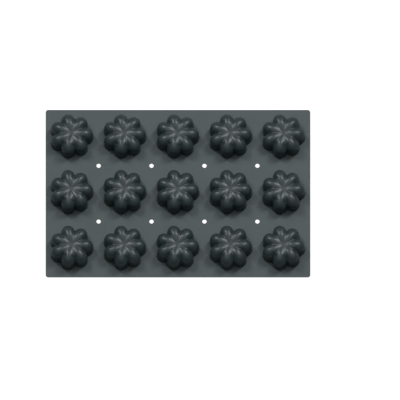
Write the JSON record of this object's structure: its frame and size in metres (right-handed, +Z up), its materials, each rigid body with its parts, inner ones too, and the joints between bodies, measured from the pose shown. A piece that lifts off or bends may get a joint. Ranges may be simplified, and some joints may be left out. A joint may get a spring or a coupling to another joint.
{
  "type": "silicone charlotte mold",
  "caption": "Flexible baking mould: a thin rectangular sheet with rows of deep seven-lobed flower cups and round holes where four cups meet.",
  "frame": {"origin": "on the table, under the middle of the sheet, which lies upside down with its cups standing up", "axes": "+X along the 600 mm side, +Y along the 400 mm side towards the back row, +Z up out of the cups' crowns"},
  "size_m": [0.6, 0.4, 0.041],
  "materials": {
    "silicone": "dark grey moulded silicone with a soft satin sheen"
  },
  "bodies": {
    "root": {"mat": "silicone", "cup_front_1": "silicone", "cup_middle_1": "silicone", "cup_back_1": "silicone", "cup_front_2": "silicone", "cup_middle_2": "silicone", "cup_back_2": "silicone", "cup_front_3": "silicone", "cup_middle_3": "silicone", "cup_back_3": "silicone", "cup_front_4": "silicone", "cup_middle_4": "silicone", "cup_back_4": "silicone", "cup_front_5": "silicone", "cup_middle_5": "silicone", "cup_back_5": "silicone"}
  },
  "joints": []
}
